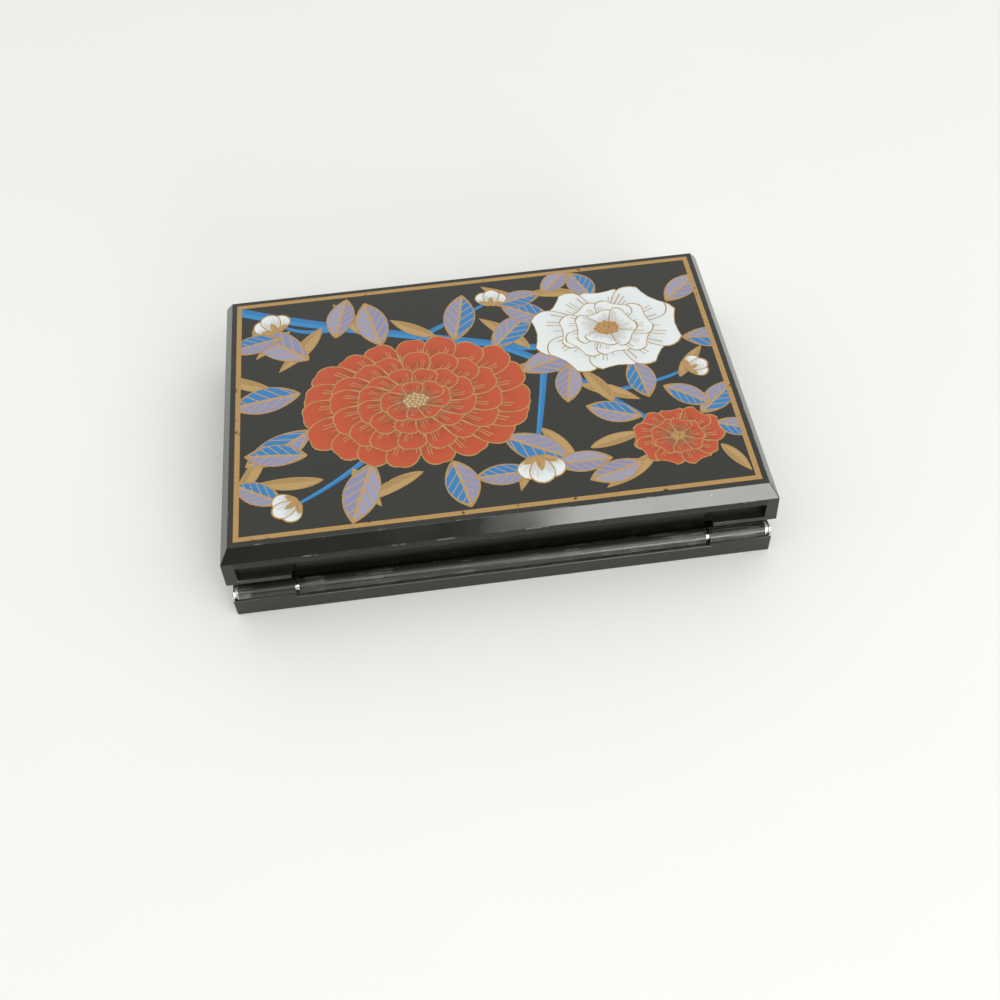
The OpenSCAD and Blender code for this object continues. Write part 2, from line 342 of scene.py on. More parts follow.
def make_recess_lacquer_painted_shade():
    """The same plastic in the recess: rougher, with painted shade that darkens it towards the bottom,
    lifted in dusty patches.
    """
    material, tree, shader = new_material("recess_lacquer_painted_shade")
    where = object_place(tree)
    grime = noise(tree, where, 320.0, 5.0)
    height = add(tree, "SeparateXYZ", {0: where}).outputs[2]
    # Painted shade: the colour darkens towards the recess's bottom, and the gloss fades with it.
    above_painted_shade = ramp(tree, height, *RECESS_SHADE_FADE)
    dusty = maths(tree, "MULTIPLY", ramp(tree, grime, 0.5, 0.75), RECESS_DUST)
    tint = mixed(tree, maths(tree, "MAXIMUM", dusty, above_painted_shade), LACQUER_PAINTED_SHADE, LACQUER_BLACK)
    finish = {
        "Base Color": tint,
        "Roughness": ramp(tree, grime, 0.3, 0.7, *RECESS_ROUGHNESS),
        "Specular IOR Level": ramp(tree, above_painted_shade, 0.0, 1.0, *RECESS_SHINE),
        "Normal": bumped(tree, grime, 0.3, 0.1 * MM),
    }
    set_inputs(tree, shader, finish)
    return material


def make_channel_lacquer_dust_and_light():
    """The same plastic in the channel below the barrel, with settled lint and painted light that lifts
    its shade.
    """
    material, tree, shader = new_material("channel_lacquer_dust_and_light")
    lint = noise(tree, object_place(tree), 420.0, 5.0)
    # Painted light: a grey far paler than the lacquer lifts the shade in the gap under the barrel, and
    # the lint noise varies it.
    finish = {
        "Base Color": mixed(tree, ramp(tree, lint, 0.3, 0.6), WORN_AND_LIT_GREY, CHANNEL_LINT_AND_LIGHT),
        "Roughness": ramp(tree, lint, 0.3, 0.7, *CHANNEL_ROUGHNESS),
    }
    set_inputs(tree, shader, finish)
    return material


FINISHES = [polished, make_worn_lacquer(), make_recess_lacquer_painted_shade(), make_channel_lacquer_dust_and_light()]
POLISHED, BARREL, RECESS, CHANNEL = range(len(FINISHES))
print("materials:", [finish.name for finish in FINISHES])

# %% [markdown]
# The edges of the CAD pieces are mathematically sharp.
# A real moulded edge is rounded and catches the light, so a merged copy of a piece is bevelled.
# Where a face is too narrow for the full radius, its edges get a smaller one.
# The bevel's own faces are marked as rubbed.

# %% Tools for rounding edges
NARROW_SHARE = 0.4
LEAST_ROOM = 1.95
SHARP_ANGLE = math.radians(22)
FLAT_ANGLE = math.radians(0.5)


def new_piece(name, bm, materials, body):
    """The finished mesh as an object that rides on a body."""
    mesh = bpy.data.meshes.new(name)
    bm.to_mesh(mesh)
    bm.free()
    for material in materials:
        mesh.materials.append(material)
    piece = bpy.data.objects.new(name, mesh)
    bpy.context.collection.objects.link(piece)
    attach(piece, body)
    return piece


def merged_copy(node):
    """A CAD node's triangles as one closed mesh of flat faces."""
    bm = bmesh.new()
    bm.from_mesh(frame["nodes"][node].data)
    for layer in list(bm.loops.layers.uv):
        bm.loops.layers.uv.remove(layer)
    bmesh.ops.remove_doubles(bm, verts=bm.verts, dist=0.001 * MM)
    bmesh.ops.dissolve_limit(bm, angle_limit=FLAT_ANGLE, verts=bm.verts, edges=bm.edges)
    return bm


def room(edge):
    """How wide the narrower face beside an edge is, taken as a strip along its longest side."""
    widths = []
    for face in edge.link_faces:
        longest = max(side.calc_length() for side in face.edges)
        widths.append(face.calc_area() / longest)
    return min(widths)


def soften(bm, radius, shortest, segments=2):
    """Rounds the outer edges that are long enough, and marks what it made as rubbed."""
    wear_and_highlight = bm.faces.layers.float.new("wear_and_highlight")
    wide, narrow = [], []
    for face in bm.faces:
        face.smooth = True
    for edge in bm.edges:
        if edge.calc_face_angle(0.0) > SHARP_ANGLE:
            if edge.is_convex and edge.calc_length() > shortest:
                (wide if room(edge) > LEAST_ROOM * radius else narrow).append(edge)
            else:
                edge.smooth = False
    for edges, offset in ((narrow, radius * NARROW_SHARE), (wide, radius)):
        made = bmesh.ops.bevel(
            bm,
            geom=[edge for edge in edges if edge.is_valid],
            offset=offset,
            offset_type="OFFSET",
            affect="EDGES",
            segments=segments,
            profile=0.5,
            material=-1,
            clamp_overlap=False,
        )
        for face in made["faces"]:
            face.smooth = True
            face[wear_and_highlight] = 1.0
    return len(wide) + len(narrow)


def weigh_normals(piece):
    """Lets large flat faces rule the shading, so that they stay flat beside round ones."""
    weighted = piece.modifiers.new("weighted_normals", "WEIGHTED_NORMAL")
    weighted.keep_sharp = True


print("rounding tools ready")

# %% [markdown]
# The lid and the tray are moulded shells. The rounded copy of each stands for its CAD node.
# Each face takes one of the four finishes from where it lies.
# The tray's back wall has a notch, so it is cut into triangles before its lip can be rounded.

# %% The lid and the tray
HINGE_AXIS = Vector(frame["record"]["behaviour"]["joints"][0]["pos_m"])
SHELL_ROUND = 0.145 * MM
SHORTEST_ROUNDED = 0.6 * MM
BARREL_REACH = 1.72 * MM
CHANNEL_REACH = 2.4 * MM
CHANNEL_HALF_W = 42.0 * MM
RECESS_HALF_W = 52.6 * MM
RECESS_Y = (33.0 * MM, 37.2 * MM)
RECESS_Z = (5.2 * MM, 15.3 * MM)
LIP_Y = 36.75 * MM
LIP_Z = (3.5 * MM, 4.6 * MM)
# Above 1, so that the lip's rounded edge gets a painted highlight all along
LIP_PAINTED_HIGHLIGHT = 1.6
# Parts of a face's normal that tell which way the face looks
UPRIGHT = 0.9
LEVEL_BACK = 0.99
LEAST_UP = 0.35
LEAST_OUT = -0.3


def finish_at(middle):
    """Which finish the plastic has at a face's middle."""
    arm = middle - HINGE_AXIS
    reach = math.hypot(arm.y, arm.z)
    if reach < BARREL_REACH:
        return BARREL
    if reach < CHANNEL_REACH and arm.z < 0.0 and abs(middle.x) < CHANNEL_HALF_W:
        return CHANNEL
    behind = abs(middle.x) < RECESS_HALF_W and RECESS_Y[0] < middle.y < RECESS_Y[1]
    return RECESS if behind and RECESS_Z[0] < middle.z < RECESS_Z[1] else POLISHED


def split_back_wall(bm):
    """Cuts the tray's notched back wall into triangles, so that the notch's lip can be rounded."""
    upright = [face for face in bm.faces if face.normal.y > UPRIGHT]
    wall = max(upright, key=lambda face: face.calc_center_median().y)
    bmesh.ops.triangulate(bm, faces=[wall])


def paint_lip_highlight(bm):
    """The lip of the tray's back wall gets a painted highlight all along, grey and rough like a rubbed
    edge.
    """
    wear_and_highlight = bm.faces.layers.float["wear_and_highlight"]
    for face in bm.faces:
        middle = face.calc_center_median()
        if middle.y > LIP_Y:
            if face.normal.y > LEVEL_BACK and face[wear_and_highlight] == 0.0:
                face.smooth = False
            shows = face.normal.z > LEAST_UP and face.normal.y > LEAST_OUT
            if shows and LIP_Z[0] < middle.z < LIP_Z[1]:
                face.material_index = POLISHED
                face[wear_and_highlight] = LIP_PAINTED_HIGHLIGHT


for node, body in (("lid_shell", "lid"), ("base_shell", "base")):
    shell = merged_copy(node)
    if body == "base":
        split_back_wall(shell)
    count = soften(shell, SHELL_ROUND, SHORTEST_ROUNDED)
    for face in shell.faces:
        face.material_index = finish_at(face.calc_center_median())
    if body == "base":
        paint_lip_highlight(shell)
    piece = new_piece(node.replace("_shell", "_polished"), shell, FINISHES, body)
    weigh_normals(piece)
    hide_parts(node)
    print(piece.name, "has", count, "rounded edges and", len(piece.data.polygons), "faces")

# %% [markdown]
# A gold line frames the lid's top, and inside it lies a printed spray of flowers.
# Gold and coloured inks are screen-printed films, so each is a flat shape a hair above the lacquer.
# A mask that reads the film's own UV map draws the fine gold veins on each petal,
# because a vein follows its petal wherever the petal lies.

# %% Groups for the drawn veins
VEIN_FOOT = 0.3
REACH_SPREAD = 0.3
VEIN_SLANT = 0.28
SIDE_FADE = 0.02


def drawn_place(tree):
    """Across and along on a drawn shape: across is 0 on its middle line, along runs from 0 to 1."""
    where = add(tree, "UVMap", uv_map="drawn").outputs[0]
    parts = add(tree, "SeparateXYZ", {0: where})
    return parts.outputs[0], parts.outputs[1]


def off_line(tree, turns):
    """How far a value lies from the middle of its own whole step, where the vein is drawn."""
    return maths(tree, "ABSOLUTE", maths(tree, "SUBTRACT", maths(tree, "FRACT", turns), 0.5))


def make_petal_veins():
    group, start, end = new_group(
        "Petal veins",
        [("Count", FLOAT, 7.0), ("Width", FLOAT, 0.14), ("Reach", FLOAT, 0.5)],
        [("Mask", FLOAT), ("Along", FLOAT)],
    )
    across, along = drawn_place(group)
    angle = maths(group, "ARCTAN2", across, maths(group, "ADD", along, VEIN_FOOT))
    turns = maths(group, "MULTIPLY", angle, start.outputs["Count"])
    thin = maths(group, "LESS_THAN", off_line(group, turns), start.outputs["Width"])
    index = maths(group, "FLOOR", turns)
    chance = add(group, "TexWhiteNoise", {"W": index}, noise_dimensions="1D").outputs[0]
    spread = maths(group, "MULTIPLY", chance, REACH_SPREAD)
    reach = maths(group, "ADD", start.outputs["Reach"], spread)
    short = maths(group, "LESS_THAN", along, reach)
    group.links.new(maths(group, "MULTIPLY", thin, short), end.inputs["Mask"])
    group.links.new(along, end.inputs["Along"])
    return group


def make_leaf_veins():
    group, start, end = new_group(
        "Leaf veins",
        [("Count", FLOAT, 6.0), ("Width", FLOAT, 0.08), ("Rib", FLOAT, 0.09)],
        [("Mask", FLOAT), ("Side", FLOAT)],
    )
    across, along = drawn_place(group)
    out = maths(group, "ABSOLUTE", across)
    slant = maths(group, "SUBTRACT", along, maths(group, "MULTIPLY", out, VEIN_SLANT))
    turns = maths(group, "MULTIPLY", slant, start.outputs["Count"])
    side_veins = maths(group, "LESS_THAN", off_line(group, turns), start.outputs["Width"])
    rib = maths(group, "LESS_THAN", out, start.outputs["Rib"])
    group.links.new(maths(group, "MAXIMUM", side_veins, rib), end.inputs["Mask"])
    group.links.new(ramp(group, across, -SIDE_FADE, SIDE_FADE), end.inputs["Side"])
    return group


petal_veins = make_petal_veins()
leaf_veins = make_leaf_veins()
print("groups:", petal_veins.name, leaf_veins.name)

# %% [markdown]
# The inks lie under the same gloss as the lacquer, so they share its roughness.
# Each petal ink runs from a deep colour at the heart to a clear one at the tip.
# The gold is a bronze powder ink: partly metallic, with grains that differ a little in tone.

# %% Inks and gold
GOLD = (0.47, 0.285, 0.105, 1.0)
GOLD_DEEP = (0.41, 0.24, 0.085, 1.0)
GOLD_METAL = 0.45
GOLD_ROUGHNESS = (0.3, 0.42)
GOLD_FADE = 0.04
INK_ROUGHNESS = 0.24


def gold_tone(tree):
    grain = noise(tree, object_place(tree), 2600.0, 3.0)
    return mixed(tree, ramp(tree, grain, 0.35, 0.65), GOLD_DEEP, GOLD)


def make_gold(name, patch, level):
    """Gold ink that is rubbed through to the black where the noise is high."""
    material, tree, shader = new_material(name)
    cloud = noise(tree, object_place(tree), 1.0 / patch, 6.0)
    lost = ramp(tree, cloud, level, level + GOLD_FADE)
    finish = {
        "Base Color": mixed(tree, lost, gold_tone(tree), LACQUER_BLACK),
        "Metallic": ramp(tree, lost, 0.0, 1.0, GOLD_METAL, 0.0),
        "Roughness": ramp(tree, cloud, 0.3, 0.7, *GOLD_ROUGHNESS),
    }
    set_inputs(tree, shader, finish)
    return material


def make_petal_ink(name, heart, tip, count, width, reach):
    material, tree, shader = new_material(name)
    veins = place(tree, petal_veins, Count=count, Width=width, Reach=reach)
    colour = mixed(tree, ramp(tree, veins.outputs["Along"], 0.15, 0.9), heart, tip)
    colour = mixed(tree, veins.outputs["Mask"], colour, gold_tone(tree))
    set_inputs(tree, shader, {"Base Color": colour, "Roughness": INK_ROUGHNESS})
    return material


def make_leaf_ink(name, one_side, other_side, width, rib):
    material, tree, shader = new_material(name)
    veins = place(tree, leaf_veins, Width=width, Rib=rib)
    colour = mixed(tree, veins.outputs["Side"], one_side, other_side)
    colour = mixed(tree, veins.outputs["Mask"], colour, gold_tone(tree))
    set_inputs(tree, shader, {"Base Color": colour, "Roughness": INK_ROUGHNESS})
    return material


gold_outline = make_gold("gold_outline", 0.002, 0.72)
gold_frame = make_gold("gold_frame", 0.0016, 0.66)
orange_ink = make_petal_ink(
    "orange_ink", (0.21, 0.02, 0.006, 1.0), (0.46, 0.062, 0.014, 1.0), 7.0, 0.13, 0.5
)
white_ink = make_petal_ink(
    "white_ink", (0.5, 0.55, 0.6, 1.0), (0.68, 0.715, 0.73, 1.0), 8.0, 0.12, 0.5
)
blue_leaf_ink = make_leaf_ink(
    "blue_leaf_ink", (0.23, 0.235, 0.37, 1.0), (0.02, 0.17, 0.42, 1.0), 0.07, 0.08
)
lavender_leaf_ink = make_leaf_ink(
    "lavender_leaf_ink", (0.27, 0.27, 0.41, 1.0), (0.21, 0.22, 0.37, 1.0), 0.09, 0.08
)
tan_leaf_ink = make_leaf_ink(
    "tan_leaf_ink", (0.42, 0.265, 0.1, 1.0), (0.33, 0.2, 0.07, 1.0), 0.05, 0.05
)
stem_ink = make_leaf_ink(
    "stem_ink", (0.013, 0.16, 0.4, 1.0), (0.02, 0.21, 0.48, 1.0), 0.0, 0.0
)
amber_ink = make_petal_ink(
    "amber_ink", (0.3, 0.085, 0.012, 1.0), (0.5, 0.2, 0.03, 1.0), 0.0, 0.0, 0.0
)
print("inks:", [m.name for m in bpy.data.materials if "ink" in m.name])

# %% [markdown]
# Every printed shape is a film of ink with a real thickness.
# Its underside is sunk a little into the lid, so that no gap shows along its edge.
# Overlapping shapes each lie one thin step higher, as layers of ink do,
# so none fight for a place. What reaches past the gold frame is cut off.

# %% Films of ink on the lid
LID_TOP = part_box("lid_shell")[1].z
# Half the width and half the depth of the lid's flat top
LID_HALF = Vector((0.05299, 0.03549))
FRAME_IN = 1.12 * MM
FRAME_WIDTH = 1.08 * MM
PANEL_HALF = LID_HALF - Vector((1.0, 1.0)) * (FRAME_IN + FRAME_WIDTH)
INK_STEP = 0.0011 * MM
INK_SUNK = 0.02 * MM
INK_FILM = 0.02 * MM
on_lid = Matrix.Translation((0.0, 0.0, LID_TOP - INK_SUNK)) @ Matrix.Rotation(math.pi, 4, "Z")


def cut_to_panel(bm):
    """Removes what lies outside the gold frame."""
    for axis in (0, 1):
        for sign in (-1, 1):
            normal = Vector((0.0, 0.0, 0.0))
            normal[axis] = sign
            bmesh.ops.bisect_plane(
                bm,
                geom=bm.verts[:] + bm.edges[:] + bm.faces[:],
                plane_co=normal * PANEL_HALF[axis],
                plane_no=normal,
                clear_outer=True,
            )


def raise_film(bm, level):
    """Turns flat faces at height 0 into closed films whose tops lie at the level."""
    made = bmesh.ops.extrude_face_region(bm, geom=bm.faces[:], use_keep_orig=True)
    lifted = [item for item in made["geom"] if isinstance(item, bmesh.types.BMVert)]
    height = INK_SUNK + INK_FILM + level * INK_STEP
    bmesh.ops.translate(bm, vec=(0.0, 0.0, height), verts=lifted)
    bmesh.ops.recalc_face_normals(bm, faces=bm.faces)


def merge_into(ink, bm):
    """Adds a finished shape to the ink it belongs to."""
    carrier = bpy.data.meshes.new("carrier")
    bm.to_mesh(carrier)
    bm.free()
    ink.from_mesh(carrier)
    bpy.data.meshes.remove(carrier)


def print_piece(name, ink, fills):
    """The finished ink, turned to face the opening side and laid on the lid."""
    bmesh.ops.transform(ink, matrix=on_lid, verts=ink.verts)
    piece = new_piece(name, ink, fills, "lid")
    print(name, "has", len(piece.data.polygons), "faces")


print("printed panel in mm:", [round(2 * side / MM, 1) for side in PANEL_HALF])

# %% [markdown]
# A petal or leaf swells from its foot and closes at its tip.
# Two powers give that shape, and a notch or a frill cuts the tip.
# With formulas, one class gives long and broad petals, buds, leaves and round dots.

# %% Outlines of petals and leaves
NOTCH_HALF = 0.45


class Outline:
    """How a petal or leaf swells from its foot and closes at its tip, and how its tip is cut.

    The gold edge is as many line widths deep at both ends as the value of ends says.
    """

    def __init__(self, swell, close, blunt, ends, notch=0.0, frill=0.0, waves=0):
        self.swell, self.close, self.blunt, self.ends = swell, close, blunt, ends
        self.notch, self.frill, self.waves = notch, frill, waves
        self.fullest = max(self.raw(step / 100) for step in range(101))

    def raw(self, along):
        return along**self.swell * max(0.0, 1.0 - along**self.close) ** self.blunt

    def point(self, across, along):
        """Half-width share and length share of a point on the edge."""
        half = self.raw(along) / self.fullest
        cut = self.notch * max(0.0, 1.0 - abs(half) / NOTCH_HALF) * along**6
        wave = self.frill * along**3 * math.cos(self.waves * math.pi * half)
        return across * half, along - cut + wave


LONG_PETAL = Outline(0.55, 5.0, 0.5, 1.0, notch=0.03)
BROAD_PETAL = Outline(0.7, 4.0, 0.42, 1.0, notch=0.1, frill=0.025, waves=3)
BUD_PETAL = Outline(0.6, 2.6, 0.55, 1.2)
LEAF = Outline(0.75, 1.7, 0.95, 2.6)
SLIM_LEAF = Outline(0.7, 1.4, 1.0, 3.4)
ROUND = Outline(0.5, 1.0, 0.5, 1.0)
print("raw width of a long petal:", round(LONG_PETAL.fullest, 3))

# %% [markdown]
# One helper draws every petal and leaf: it pulls a circle into an outline,
# insets a band for the gold edge, bends the shape, lays it on the panel and cuts it at the frame.
# The inset keeps the gold edge part of the same film, so no line of it can come loose.

# %% A helper that draws one petal or leaf
GOLD_SLOT = 1
THIRD_SLOT = 2
EDGE_WIDTH = 0.24 * MM
LEAST_SHARE = 0.2
MOST_BACK = 0.2
ON_MIDDLE = 1e-6


def squeeze(verts, length, ends):
    """Draws an outline in by the gold edge's width.

    Near a pointed end it keeps a share of its own width.
    """
    back = min(EDGE_WIDTH * ends, MOST_BACK * length)
    for vert in verts:
        half = abs(vert.co.x)
        if half > 0.0:
            vert.co.x *= max(1.0 - EDGE_WIDTH / half, LEAST_SHARE)
        vert.co.y = back + vert.co.y * (1.0 - 2.0 * back / length)


def draw(ink, outline, length, width, spot, turn, level, fill=0, bend=0.0, points=32):
    """One petal or leaf: its foot on the spot, turned anticlockwise from straight up the panel."""
    shape = bmesh.new()
    bmesh.ops.create_circle(shape, cap_ends=True, segments=points, radius=1.0)
    for vert in shape.verts:
        side = 0.0 if abs(vert.co.x) < ON_MIDDLE else math.copysign(1.0, vert.co.x)
        across, along = outline.point(side, (1.0 + vert.co.y) / 2.0)
        vert.co = (across * width / 2.0, along * length, 0.0)
    inner = shape.faces[:]
    edge = bmesh.ops.inset_region(shape, faces=inner, thickness=0.0, use_boundary=True)
    squeeze(inner[0].verts, length, outline.ends)
    shape_uv = shape.loops.layers.uv.new("drawn")
    for face in shape.faces:
        face.material_index = fill
        for loop in face.loops:
            loop[shape_uv].uv = (loop.vert.co.x / (width / 2.0), loop.vert.co.y / length)
    for face in edge["faces"]:
        face.material_index = GOLD_SLOT
    for vert in shape.verts:
        vert.co.x += bend * length * (vert.co.y / length) ** 2
    lie = Matrix.Translation((spot[0], spot[1], 0.0)) @ Matrix.Rotation(turn, 4, "Z")
    bmesh.ops.transform(shape, matrix=lie, verts=shape.verts)
    cut_to_panel(shape)
    if shape.faces:
        raise_film(shape, level)
        merge_into(ink, shape)
    else:
        shape.free()


print("gold edges are", round(EDGE_WIDTH / MM, 2), "mm wide")

# %% [markdown]
# The gold line is one stroke of bronze ink around the lid's top, a little in from its edge.
# It could be four thin strips, but then their corners would have to meet exactly.
# So a flat rectangle gets a band inset from its edge, and its middle is removed.

# %% The gold frame
frame_ink = bmesh.new()
bmesh.ops.create_grid(frame_ink, x_segments=1, y_segments=1, size=1.0)
outer = LID_HALF - Vector((1.0, 1.0)) * FRAME_IN
bmesh.ops.scale(frame_ink, vec=(outer.x, outer.y, 1.0), verts=frame_ink.verts)
middle = frame_ink.faces[:]
bmesh.ops.inset_region(
    frame_ink, faces=middle, thickness=FRAME_WIDTH, use_boundary=True, use_even_offset=True
)
bmesh.ops.delete(frame_ink, geom=middle, context="FACES")
raise_film(frame_ink, 0)
print_piece("gold_line", frame_ink, [gold_frame])

# %% [markdown]
# A main stem crosses the panel from the far corner and branches to each flower.
# Stems are ribbons: a grid one face wide whose rows are laid along a curve.
# A ribbon can follow any curve and thin towards its tip, as a brush stroke does.

# %% Stems
chance = random.Random(11)


def curve_point(knots, share):
    """A point on the cubic curve through four control points."""
    a, b, c, d = knots
    rest = 1.0 - share
    return a * rest**3 + 3 * b * share * rest**2 + 3 * c * share**2 * rest + d * share**3


def draw_stem(ink, knots, foot, tip, level, rows=28):
    """A ribbon along the curve that thins from foot to tip."""
    knots = [Vector(knot) * MM for knot in knots]
    ribbon = bmesh.new()
    bmesh.ops.create_grid(ribbon, x_segments=1, y_segments=rows, size=1.0)
    ribbon_uv = ribbon.loops.layers.uv.new("drawn")
    for face in ribbon.faces:
        for loop in face.loops:
            loop[ribbon_uv].uv = (loop.vert.co.x, (loop.vert.co.y + 1.0) / 2.0)
    for vert in ribbon.verts:
        share = (vert.co.y + 1.0) / 2.0
        here = curve_point(knots, share)
        ahead = curve_point(knots, share + 0.01) - here
        side = Vector((ahead.y, -ahead.x)).normalized()
        half = (foot + (tip - foot) * share) / 2.0 * MM
        spot = here + side * half * vert.co.x
        vert.co = (spot.x, spot.y, 0.0)
    cut_to_panel(ribbon)
    raise_film(ribbon, level)
    merge_into(ink, ribbon)


# Control points (right, up), width at the foot and width at the tip of each stem
STEMS = [
    ([(-53, 33), (-34, 24), (-12, 18), (6, 12)], 2.6, 2.0),
    ([(4, 12.5), (16, 8), (22, 10), (29, 13)], 2.0, 1.4),
    ([(5, 12), (18, 4), (26, -8), (38, -20)], 1.9, 1.1),
    ([(-30, 23), (-36, 22), (-40, 24), (-43, 27)], 1.4, 0.7),
    ([(-12, 17), (-4, 22), (2, 24), (5, 27)], 1.4, 0.7),
    ([(14, 3), (12, -8), (10, -16), (9, -22)], 1.5, 0.8),
    ([(26, -6), (34, -5), (40, -4), (45, -1)], 1.2, 0.6),
    ([(-20, -12), (-28, -20), (-34, -24), (-40, -27)], 1.4, 0.7),
]
stems = bmesh.new()
for level, (knots, foot, tip) in enumerate(STEMS):
    draw_stem(stems, knots, foot, tip, level)
print_piece("print_stems", stems, [stem_ink])

# %% [markdown]
# Slim gold leaves and broad blue ones fill the space between the flowers.
# Each is listed with its foot, its direction, its length, its width and its bend.
# A spray is laid out one by one, so the leaves are a list, and one loop draws them all alike.

# %% Leaves
# Foot (right, up), heading in degrees, length, width and bend of each leaf
SLIM_LEAVES = [
    ((-33, 24), 150, 16, 3.8, 0.12), ((-24, 20), 20, 13, 3.4, -0.15), ((-8, 17), 60, 12, 3.2, 0.1),
    ((12, 10), 35, 15, 3.4, -0.12), ((17, 5), 100, 10, 3.0, 0.1), ((21, -3), 250, 13, 3.3, 0.14),
    ((27, -9), 20, 12, 3.2, -0.1), ((11, -14), 215, 13, 3.2, 0.12), ((9, -20), 150, 11, 2.8, -0.12),
    ((-34, -21), 95, 14, 3.4, 0.14), ((-28, -19), 200, 12, 3.2, -0.1), ((33, -24), 130, 14, 3.4, 0.1),
    ((42, -4), 330, 11, 2.8, 0.12), ((44, 22), 300, 13, 3.2, -0.1), ((-44, 6), 70, 13, 3.2, 0.15),
    ((14, 24), 60, 13, 3.2, 0.12), ((-40, 24), 130, 11, 2.8, -0.12), ((-46, -12), 160, 13, 3.2, 0.12),
    ((25, 26), 75, 12, 3.0, -0.12), ((-14, -22), 110, 14, 3.2, -0.12), ((20, -21), 290, 12, 3.0, 0.12),
    ((46, -24), 215, 9, 2.6, 0.1),
]
BROAD_LEAVES = [
    ((-36, 14), 50, 17, 8.0, 0.05), ((-38, 4), 95, 15, 7.6, -0.06), ((-36, -7), 125, 16, 7.4, 0.06),
    ((-24, -18), 160, 16, 7.6, -0.05), ((-8, -20), 195, 13, 7.0, 0.06), ((3, -15), 235, 15, 7.2, -0.05),
    ((9, 3), 290, 15, 7.2, 0.06), ((4, 11), 320, 14, 6.8, 0.05), ((-4, 15), 345, 15, 7.2, -0.06),
    ((-20, 16), 15, 15, 7.2, 0.05), ((18, 18), 60, 13, 6.4, 0.06), ((28, 24), 20, 10, 6.0, -0.05),
    ((44, 20), 315, 12, 6.2, 0.05), ((45, 8), 260, 13, 6.4, -0.06), ((33, 3), 190, 12, 6.2, 0.05),
    ((20, 4), 165, 12, 5.8, -0.05), ((32, -14), 70, 12, 5.8, 0.05), ((44, -15), 310, 12, 5.8, -0.05),
    ((30, -26), 110, 12, 5.8, 0.06), ((-42, 22), 100, 12, 5.8, -0.05), ((8, -25), 95, 12, 5.6, 0.06),
    ((12, -24), 265, 12, 5.6, -0.06), ((-42, -26), 60, 12, 5.6, 0.05), ((6, 25), 285, 11, 5.4, 0.05),
    ((-30, 20), 350, 13, 6.2, 0.06), ((38, -6), 235, 11, 5.4, 0.05), ((46, -18), 245, 9, 5.0, -0.05),
    ((17, 27), 320, 10, 5.2, 0.05), ((-37, -14), 80, 13, 6.0, -0.06),
]


def draw_leaves(leaves, outline, first_level, every=0):
    """Each leaf on its own level. Where every is set, one leaf in that many takes the third ink."""
    ink = bmesh.new()
    for step, (spot, heading, length, width, bend) in enumerate(leaves):
        foot = Vector(spot) * MM
        turn = math.radians(heading)
        fill = THIRD_SLOT if every and step % every == 0 else 0
        level = first_level + step
        draw(ink, outline, length * MM, width * MM, foot, turn, level, fill=fill, bend=bend)
    return ink


SLIM_LEVEL = len(STEMS)
BROAD_LEVEL = SLIM_LEVEL + len(SLIM_LEAVES)
slim_leaves = draw_leaves(SLIM_LEAVES, SLIM_LEAF, SLIM_LEVEL)
print_piece("print_slim_leaves", slim_leaves, [tan_leaf_ink, gold_outline])
broad_leaves = draw_leaves(BROAD_LEAVES, LEAF, BROAD_LEVEL, every=3)
print_piece("print_leaves", broad_leaves, [blue_leaf_ink, gold_outline, lavender_leaf_ink])

# %% [markdown]
# The flowers are rings of petals on an oval, drawn from the outside in.
# The large one is a full bloom of long petals, and the two others are broad-petalled.
# Small random turns and bends keep the petals from looking stamped.

# %% Flowers
FLOWER_LEVEL = BROAD_LEVEL + len(BROAD_LEAVES)
RING_TWIST = 0.13
SEED_TURN = math.radians(137.5)
# Name, middle, half sizes, petal, rings, heart and inks of each flower.
# A ring is its inner share, outer share, count and width share.
# A heart is its half sizes, its number of stamens and their size.
FLOWERS = [
    (
        "print_orange_bloom", (-14.0, -2.0), (25.0, 19.0), LONG_PETAL,
        [(0.3, 1.0, 19, 1.12), (0.2, 0.76, 16, 1.1), (0.1, 0.52, 12, 1.08), (0.02, 0.3, 8, 1.05)],
        ((2.6, 2.1), 22, 0.85), [orange_ink, gold_outline, white_ink],
    ),
    (
        "print_pale_bloom", (29.5, 13.5), (16.0, 12.5), BROAD_PETAL,
        [(0.12, 1.0, 8, 1.18), (0.08, 0.66, 7, 1.15), (0.05, 0.42, 5, 1.1)],
        ((2.7, 2.1), 20, 0.9), [white_ink, gold_outline, amber_ink],
    ),
    (
        "print_small_bloom", (38.0, -20.5), (9.5, 7.6), BROAD_PETAL,
        [(0.15, 1.0, 9, 1.15), (0.08, 0.6, 7, 1.1)],
        ((1.4, 1.1), 9, 0.75), [orange_ink, gold_outline, amber_ink],
    ),
]


def draw_bloom(ink, centre, radii, outline, rings):
    """Rings of petals around a centre, each petal one level higher. Returns the next free level."""
    level = FLOWER_LEVEL
    for number, (inner, outer, count, share) in enumerate(rings):
        for petal in range(count):
            angle = 2.0 * math.pi * (petal + 0.5 * (number % 2)) / count + RING_TWIST * number
            heading = Vector((-math.sin(angle), math.cos(angle)))
            reach = Vector((heading.x * radii[0], heading.y * radii[1]))
            length = reach.length * (outer - inner) * chance.uniform(0.95, 1.05)
            spacing = 2.0 * math.pi * reach.length * outer / count
            spot = (Vector(centre) + reach * inner) * MM
            turn = math.atan2(-reach.x, reach.y) + chance.uniform(-0.05, 0.05)
            bend = chance.uniform(-0.06, 0.06)
            width = spacing * share
            draw(ink, outline, length * MM, width * MM, spot, turn, level, bend=bend)
            level += 1
    return level


